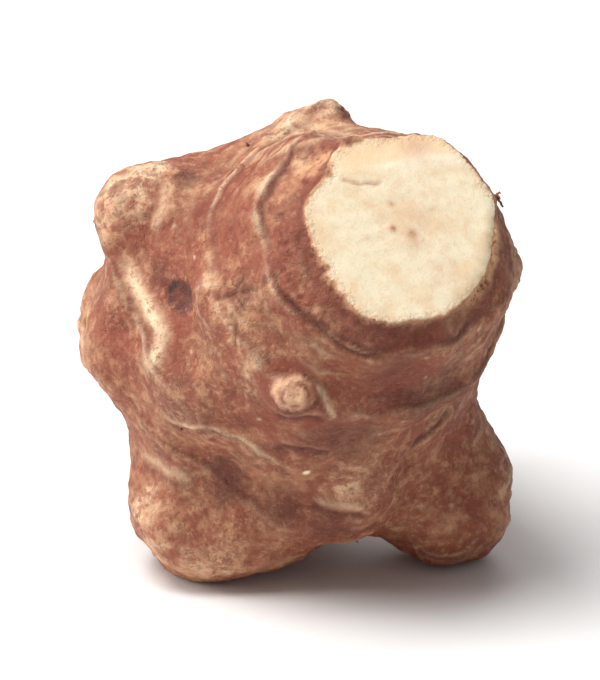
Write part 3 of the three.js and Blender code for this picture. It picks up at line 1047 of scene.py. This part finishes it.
def makeFleshGroup():
    # the colour and height of cut flesh
    tree, given, out = newPattern("cutFleshPattern", fleshMasks, ["Height"])
    where = given["Where"]
    clouds = noise(where, 6, 4, 0.6)
    fibres = noise(where, 1.4, 5, 0.65)
    grit = noise(where, 0.35, 2, 0.5)
    clouds = times(between(clouds, 0.42, 0.66), 0.7)
    colour = over(fleshLook["cream"], fleshLook["deeper"], clouds)
    # painted shade: the pared facet is a deeper cream, as it faces the light less
    colour = over(colour, fleshLook["deeper"], given["Pared"], 0.75)
    colour = over(colour, fleshLook["deeper"], between(fibres, 0.46, 0.66), 0.45)
    colour = over(colour, fleshLook["rind"], between(grit, 0.5, 0.75), 0.16)
    # painted highlight along the fold between the knife's two faces
    colour = over(colour, fleshLook["fold_highlight"], given["Fold_highlight"], 0.6)
    nearRind = between(maths("ADD", given["Rim"], times(fibres, 1.6)), 2.4, 0.8)
    colour = over(colour, fleshLook["rind"], nearRind, 0.5)
    dark = maths("ADD", given["Pith"], times(given["Fissure"], 0.55))
    dark = times(dark, maths("ADD", fibres, 0.35))
    colour = over(colour, fleshLook["pith"], maths("MINIMUM", dark, 0.8))
    tree.links.new(colour, out["Color"])
    tree.links.new(maths("ADD", fibres, times(grit, 0.5)), out["Height"])
    return tree


fleshPattern = makeFleshGroup()

skinLook = {
    "tan": rgb(176, 117, 84),
    "russet": rgb(116, 62, 44),
    "rust": rgb(144, 76, 54),
    "flush_and_shade": rgb(136, 64, 45),
    "pale_and_highlight": rgb(214, 164, 126),
    "cream": rgb(243, 212, 174),
    "film": rgb(128, 89, 66),
    "shade": rgb(84, 38, 26),
    "scar": rgb(104, 48, 34),
    "soil": rgb(62, 46, 40),
    "char": rgb(52, 46, 48),
    "bud": rgb(246, 194, 156),
    "thin": rgb(230, 176, 132),
    "edge": rgb(112, 54, 38),
    "roughness": (0.5, 0.82), "roughestAt": 1, "bump": 0.8, "bumpHeight": 0.4, "shine": 0.4,
    "glow": 0.04, "glowReach": 1, "glowShares": (1.0, 0.5, 0.3),
}
skinMasks = ("Blush_and_shade", "Pale_and_highlight", "Film")


def makeSkinGroup():
    # mottled skin, paler where the pale mask is high: a worn coat, and a painted highlight on swells
    tree, given, out = newPattern("skinPattern", skinMasks, ["Height", "Patches"])
    where = given["Where"]
    blotches = noise(where, 7, 5, 0.58)
    patches = noise(where, 3.2, 4, 0.58)
    freckles = noise(where, 1.3, 4, 0.62)
    flecks = noise(where, 0.7, 3, 0.6)
    dust = noise(where, 0.32, 2, 0.6)
    colour = over(skinLook["tan"], skinLook["rust"], between(blotches, 0.44, 0.58), 0.95)
    colour = over(colour, skinLook["rust"], between(patches, 0.5, 0.62), 0.6)
    colour = over(colour, skinLook["soil"], between(dust, 0.57, 0.7), 0.35)
    film = times(given["Film"], between(patches, 0.3, 0.5))
    film = maths("MAXIMUM", film, times(between(blotches, 0.5, 0.36), 0.55))
    film = times(film, maths("SUBTRACT", 1.0, given["Pale_and_highlight"], clamp=True))
    colour = over(colour, skinLook["film"], film, 0.75)
    # reddish flush, and painted shade in dips and low on the right
    flush_and_shade = times(given["Blush_and_shade"], between(patches, 0.26, 0.48))
    colour = over(colour, skinLook["flush_and_shade"], flush_and_shade, 0.8)
    worn = given["Pale_and_highlight"]
    for first, second, swing in ((patches, 0.5, 1.8), (freckles, 0.5, 1.6), (0.48, blotches, 1.8)):
        worn = maths("ADD", worn, times(maths("SUBTRACT", first, second), swing))
    colour = over(colour, skinLook["pale_and_highlight"], between(worn, 0.05, 1.0), 0.8)
    colour = over(colour, skinLook["cream"], between(worn, 0.6, 1.5), 0.8)
    mottle = noise(where, 2.2, 3, 0.58)
    colour = over(colour, skinLook["rust"], between(mottle, 0.5, 0.6), 0.65)
    unflushed = maths("SUBTRACT", 1, times(given["Blush_and_shade"], 0.65))
    colour = over(colour, skinLook["pale_and_highlight"], between(mottle, 0.47, 0.38), 0.36, unflushed)
    # the finest marks come and go over the skin
    speckled = maths("ADD", 0.35, times(between(noise(where, 10, 2), 0.4, 0.6), 0.75))
    colour = over(colour, skinLook["russet"], between(freckles, 0.52, 0.62), 0.5, speckled)
    colour = over(colour, skinLook["pale_and_highlight"], between(freckles, 0.48, 0.34), 0.25, unflushed)
    colour = over(colour, skinLook["rust"], between(flecks, 0.53, 0.62), 0.5, speckled)
    colour = over(colour, skinLook["flush_and_shade"], flush_and_shade, 0.35)
    colour = over(colour, skinLook["pale_and_highlight"], between(flecks, 0.46, 0.34), 0.25, speckled)
    tree.links.new(colour, out["Color"])
    height = maths("ADD", times(flecks, 0.8), times(freckles, 1.4))
    tree.links.new(maths("ADD", height, times(dust, 0.4)), out["Height"])
    tree.links.new(patches, out["Patches"])
    return tree


skinPattern = makeSkinGroup()


def makeSkin():
    made, tree, shader = newMaterial("tuberSkin")
    where = millimetres(tree)
    skin = placePattern(tree, skinPattern, where, readMarks(tree, skinMasks))
    flecks = noise(where, 0.9, 3, 0.6)
    colour = skin["Color"]
    # pale crests: worn skin, and a painted highlight
    crestAndHighlight = attribute(tree, "ridge")
    colour = over(colour, skinLook["cream"], crestAndHighlight, between(flecks, 0.24, 0.52), 0.9)
    colour = over(colour, skinLook["bud"], attribute(tree, "bud"), between(flecks, 0.2, 0.5))
    # dark stains, and painted shade in creases, dips and low on the right
    stain_and_shade = attribute(tree, "stain_and_shade")
    colour = over(colour, skinLook["shade"], stain_and_shade, between(flecks, 0.1, 0.45), 0.8)
    offCrest = maths("SUBTRACT", 1.0, times(crestAndHighlight, 0.8), clamp=True)
    scar = times(attribute(tree, "scar"), between(flecks, 0.3, 0.55))
    colour = over(colour, skinLook["scar"], scar, offCrest, 0.85)
    dust = noise(where, 0.3, 2, 0.6)
    colour = over(colour, skinLook["soil"], between(dust, 0.54, 0.66), stain_and_shade, 0.25)
    colour = over(colour, skinLook["rust"], attribute(tree, "rust"), between(flecks, 0.3, 0.5), 0.85)
    colour = over(colour, skinLook["char"], attribute(tree, "char"), between(dust, 0.4, 0.55))

    # the skin darkens towards its cut edge, thins over it, and flesh shows past it
    torn = maths("ADD", attribute(tree, "rim"), times(maths("SUBTRACT", flecks, 0.5), 1.4))
    colour = over(colour, skinLook["edge"], between(torn, -4.5, -0.6), 0.7)
    thin = times(attribute(tree, "thin"), between(flecks, 0.25, 0.55), 0.9)
    thin = maths("MAXIMUM", thin, times(between(torn, -1.1, 0.1), 0.55))
    colour = over(colour, skinLook["thin"], thin)
    colour = over(colour, fleshLook["cream"], attribute(tree, "nick"))
    beneath = placePattern(tree, fleshPattern, where, readMarks(tree, fleshMasks))
    colour = over(colour, beneath["Color"], between(torn, 0.0, 0.7))
    finishShader(shader, colour, skin["Patches"], skin["Height"], skinLook)
    return made


def makeFlesh():
    made, tree, shader = newMaterial("cutFlesh")
    pattern = placePattern(tree, fleshPattern, millimetres(tree), readMarks(tree, fleshMasks))
    finishShader(shader, pattern["Color"], pattern["Height"], pattern["Height"], fleshLook)
    return made


def makePlainSkin(name, blush_and_shade, pale_and_highlight, roughness):
    # the same skin on the small pieces
    made, tree, shader = newMaterial(name)
    where = millimetres(tree)
    skin = placePattern(tree, skinPattern, where, {"Blush_and_shade": blush_and_shade, "Pale_and_highlight": pale_and_highlight})
    dark = noise(where, 0.6, 2)
    colour = over(skin["Color"], skinLook["scar"], between(dark, 0.4, 0.6), 0.6)
    tree.links.new(colour, shader.inputs["Base Color"])
    shader.inputs["Roughness"].default_value = roughness
    return made


tuberSkin, cutFlesh = makeSkin(), makeFlesh()
rootSkin = makePlainSkin("rootSkin", 0.8, 0.0, 0.8)
flakeSkin = makePlainSkin("flakeSkin", 0.4, 0.3, 0.7)
print("materials made")


# small pieces scattered over the skin: each tree spreads one shape where a mark is high

scatterInputs = {
    "Skin": "Geometry", "Spacing": "Float", "Share": "Float", "Smallest": "Vector", "Largest": "Vector",
    "Lean": "Float", "Seed": "Int", "Finish": "Material",
}


def scatterTree(name, shape, markName):
    tree = bpy.data.node_groups.new(name, "GeometryNodeTree")
    for socket, kind in scatterInputs.items():
        tree.interface.new_socket(socket, in_out="INPUT", socket_type="NodeSocket" + kind)
    tree.interface.new_socket("Pieces", in_out="OUTPUT", socket_type="NodeSocketGeometry")
    given = tree.nodes.new("NodeGroupInput").outputs
    amount = addNode(tree, "GeometryNodeInputNamedAttribute", {"Name": markName}, data_type="FLOAT")
    spread = addNode(tree, "GeometryNodeDistributePointsOnFaces", {
        "Mesh": given["Skin"], "Distance Min": given["Spacing"], "Seed": given["Seed"],
        "Density Max": 2 / mm**2,  # before the spacing thins them out
        "Density Factor": maths("MULTIPLY", amount.outputs[0], given["Share"]),
    }, distribute_method="POISSON")
    lean = addNode(tree, "ShaderNodeCombineXYZ", {"X": given["Lean"], "Y": given["Lean"], "Z": math.pi})
    turned = addNode(tree, "FunctionNodeRandomValue", {
        0: scaled(lean.outputs[0], -1), 1: lean.outputs[0], "Seed": given["Seed"]},
        data_type="FLOAT_VECTOR").outputs[0]
    size = addNode(tree, "FunctionNodeRandomValue", {
        0: given["Smallest"], 1: given["Largest"], "Seed": maths("ADD", given["Seed"], 1)},
        data_type="FLOAT_VECTOR").outputs[0]
    placed = addNode(tree, "GeometryNodeInstanceOnPoints", {
        "Points": spread.outputs["Points"], "Instance": shape(tree), "Rotation": spread.outputs["Rotation"],
        "Scale": size})
    spun = addNode(tree, "GeometryNodeRotateInstances", {"Instances": placed.outputs[0], "Rotation": turned})
    real = addNode(tree, "GeometryNodeRealizeInstances", {0: spun.outputs[0]})
    smooth = addNode(tree, "GeometryNodeSetShadeSmooth", {0: real.outputs[0]})
    finished = addNode(tree, "GeometryNodeSetMaterial", {
        "Geometry": smooth.outputs[0], "Material": given["Finish"]})
    tree.links.new(finished.outputs[0], tree.nodes.new("NodeGroupOutput").inputs["Pieces"])
    return tree


def bentBy(tree, geometry, amount, roughen, size):
    # leans a shape over with its height, and roughens it
    place = addNode(tree, "GeometryNodeInputPosition").outputs[0]
    split = addNode(tree, "ShaderNodeSeparateXYZ", {0: place}).outputs
    bend = times(split["Z"], split["Z"], amount)
    rough = addNode(tree, "ShaderNodeTexNoise", {"Vector": place, "Scale": size}).outputs["Color"]
    rough = addNode(tree, "ShaderNodeVectorMath", {0: rough, 1: (0.5, 0.5, 0.5)}, operation="SUBTRACT")
    sideways = addNode(tree, "ShaderNodeCombineXYZ", {"X": bend}).outputs[0]
    offset = addNode(tree, "ShaderNodeVectorMath", {
        0: sideways, 1: scaled(rough.outputs[0], roughen)}, operation="ADD").outputs[0]
    return addNode(tree, "GeometryNodeSetPosition", {"Geometry": geometry, "Offset": offset}).outputs[0]


def stubShape(tree):
    cone = addNode(tree, "GeometryNodeMeshCone", {
        "Vertices": 6, "Side Segments": 4, "Radius Top": 0.7, "Radius Bottom": 1.0, "Depth": 1.0},
        fill_type="NGON")
    return bentBy(tree, cone.outputs["Mesh"], amount=0.9, roughen=0.5, size=2.5)


def flakeShape(tree):
    plate = addNode(tree, "GeometryNodeMeshCube", {
        "Size": (1.0, 1.0, 0.14), "Vertices X": 4, "Vertices Y": 4, "Vertices Z": 2})
    return bentBy(tree, plate.outputs["Mesh"], amount=0.0, roughen=0.9, size=1.7)


smallPieces = [
    {"name": "rootStubs", "shape": stubShape, "mark": "roots", "finish": rootSkin,
     "spacing": 2.4, "share": 0.9, "lean": 0.5, "seed": 3,
     "smallest": (0.22, 0.22, 0.25), "largest": (0.4, 0.36, 0.6)},
    {"name": "skinFlakes", "shape": flakeShape, "mark": "flakes", "finish": flakeSkin,
     "spacing": 1.3, "share": 0.5, "lean": 0.3, "seed": 5,
     "smallest": (0.4, 0.3, 0.5), "largest": (1.3, 0.8, 1.0)},
]


def scatterPiece(settings):
    tree = scatterTree(settings["name"] + "Tree", settings["shape"], settings["mark"])
    base = linkObject(settings["name"], tuberMesh.copy())
    spread = base.modifiers.new("spread", "NODES")
    spread.node_group = tree
    values = {
        "Spacing": settings["spacing"] * mm, "Share": settings["share"], "Lean": settings["lean"],
        "Smallest": [v * mm for v in settings["smallest"]], "Largest": [v * mm for v in settings["largest"]],
        "Seed": settings["seed"], "Finish": settings["finish"],
    }
    for socket in tree.interface.items_tree:
        if socket.name in values:
            spread[socket.identifier] = values[socket.name]
    mesh = asPlainMesh(base, settings["name"])
    base.modifiers.clear()
    bare, base.data = base.data, mesh
    bpy.data.meshes.remove(bare)
    print(settings["name"] + ":", len(mesh.polygons), "faces")
    return base


# a tuft of dried rootlets beside the cut

rootTuft = {
    "from": (30.0, -13.0, 66.0),
    "strands": (  # way, length, radius
        ((0.9, -0.2, 0.3), 3.2, 0.34), ((0.6, 0.2, 0.8), 2.6, 0.28),
        ((0.95, -0.5, -0.1), 2.2, 0.26), ((0.8, 0.1, 0.5), 2.0, 0.4),
    ),
    "sunk": 0.3,
    "spread": 0.25,
    "taper": 0.6,
    "curl": 0.5,
    "sides": 6,
    "steps": 8,
    "ringStart": (0.2, 0.9, 0.3),  # square to this and the strand
    "seed": 12,
}


def makeRootTuft():
    chance = np.random.default_rng(rootTuft["seed"])
    made = bmesh.new()
    start = onSkin(rootTuft["from"])
    for way, length, radius in rootTuft["strands"]:
        way = unit(way)
        place = start - rootTuft["sunk"] * way + rootTuft["spread"] * chance.normal(size=3)
        rings = []
        for step in range(rootTuft["steps"]):
            t = step / (rootTuft["steps"] - 1)
            side = unit(np.cross(way, rootTuft["ringStart"]))
            other = np.cross(way, side)
            width = radius * (1 - rootTuft["taper"] * t) * chance.uniform(0.8, 1.2)
            turns = np.arange(rootTuft["sides"]) * 2 * math.pi / rootTuft["sides"]
            ring = [place + width * (math.cos(a) * side + math.sin(a) * other) for a in turns]
            rings.append([made.verts.new(corner * mm) for corner in ring])
            way = unit(way + rootTuft["curl"] * chance.normal(size=3))
            place = place + way * length / rootTuft["steps"]
        for lower, upper in zip(rings, rings[1:]):
            for j in range(rootTuft["sides"]):
                k = (j + 1) % rootTuft["sides"]
                made.faces.new((lower[j], lower[k], upper[k], upper[j]))
        made.faces.new(rings[0][::-1])
        made.faces.new(rings[-1])
    bmesh.ops.recalc_face_normals(made, faces=made.faces)
    mesh = bpy.data.meshes.new("rootTuft")
    made.to_mesh(mesh)
    made.free()
    smoothShaded(mesh)
    mesh.materials.append(rootSkin)
    return linkObject("rootTuft", mesh)


def makeTuber():
    tuberMesh.materials.clear()
    tuberMesh.materials.append(tuberSkin)
    tuberMesh.materials.append(cutFlesh)
    corners = readValues(tuberMesh.loops, "vertex_index", 1, np.int32).ravel()
    starts = readValues(tuberMesh.polygons, "loop_start", 1, np.int32).ravel()
    # a face is flesh where all its corners are well inside the rim
    leastRim = np.minimum.reduceat(np.where(flat, rim, -9)[corners], starts)
    tuberMesh.polygons.foreach_set("material_index", (leastRim > cutFace["fleshFrom"]).astype(np.int32))
    smoothShaded(tuberMesh)
    for name in ("roots", "flakes"):
        tuberMesh.attributes.remove(tuberMesh.attributes[name])
    tuberMesh.update()
    return linkObject("wholeTuber", tuberMesh)


pieces = [scatterPiece(settings) for settings in smallPieces] + [makeRootTuft()]
wholeTuber = makeTuber()
for piece in [wholeTuber, *pieces]:
    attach(piece, "root")
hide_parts("tuber")
print("pieces ride on the tuber's body")

# floor, light and camera

studio = {
    "floor": 8.0,  # metres across
    "floorColour": rgb(243, 242, 240),
    "floorRoughness": 0.85,
    "worldColour": rgb(252, 252, 255),
    "worldStrength": 0.25,
    "lights": (  # name, place and size in metres, watts
        ("keyLight", (-0.22, -0.14, 0.72), 0.40, 5.9),
        ("leftLight", (-0.60, 0.02, 0.26), 0.40, 2.2),
        ("backLight", (0.10, 0.60, 0.45), 0.40, 1.2),
    ),
    "lightAim": 38,  # height that the lights are turned to
    "cameraDistance": 0.9,  # metres
    "cameraAim": -1,  # from the middle of the tuber's height
    "sensor": 24,  # height of the camera's film
    "elevation": 22,  # degrees
    "frameHeight": 106,  # what the picture takes in, top to bottom
}


def makeStudio():
    half = studio["floor"] / 2
    mesh = bpy.data.meshes.new("floor")
    corners = [(-half, -half, 0), (half, -half, 0), (half, half, 0), (-half, half, 0)]
    mesh.from_pydata(corners, [], [(0, 1, 2, 3)])
    floor = linkObject("floor", mesh)
    made, _, shader = newMaterial("paleFloor")
    shader.inputs["Base Color"].default_value = studio["floorColour"]
    shader.inputs["Roughness"].default_value = studio["floorRoughness"]
    mesh.materials.append(made)
    world = bpy.data.worlds.new("studio")
    bpy.context.scene.world = world
    world.use_nodes = True
    background = world.node_tree.nodes["Background"]
    background.inputs["Color"].default_value = studio["worldColour"]
    background.inputs["Strength"].default_value = studio["worldStrength"]
    aim = Vector((0, 0, studio["lightAim"] * mm))
    for name, place, size, power in studio["lights"]:
        lamp = bpy.data.lights.new(name, "AREA")
        lamp.size, lamp.energy = size, power
        light = linkObject(name, lamp)
        light.location = place
        light.rotation_euler = (aim - Vector(place)).to_track_quat("-Z", "Y").to_euler()


def makeCamera():
    lens = bpy.data.cameras.new("camera")
    camera = linkObject("camera", lens)
    tilt = math.radians(studio["elevation"])
    aim = Vector((0, 0, 0.5 * (cadBox[0][2] + cadBox[1][2]) + studio["cameraAim"] * mm))
    camera.location = aim + studio["cameraDistance"] * Vector((0, -math.cos(tilt), math.sin(tilt)))
    camera.rotation_euler = (aim - camera.location).to_track_quat("-Z", "Y").to_euler()
    lens.sensor_fit = "VERTICAL"
    lens.sensor_height = studio["sensor"]
    lens.lens = studio["sensor"] * studio["cameraDistance"] / (studio["frameHeight"] * mm)
    lens.clip_end = 20
    bpy.context.scene.camera = camera


makeStudio()
makeCamera()
bpy.context.scene.view_settings.view_transform = "Standard"
print("studio ready")
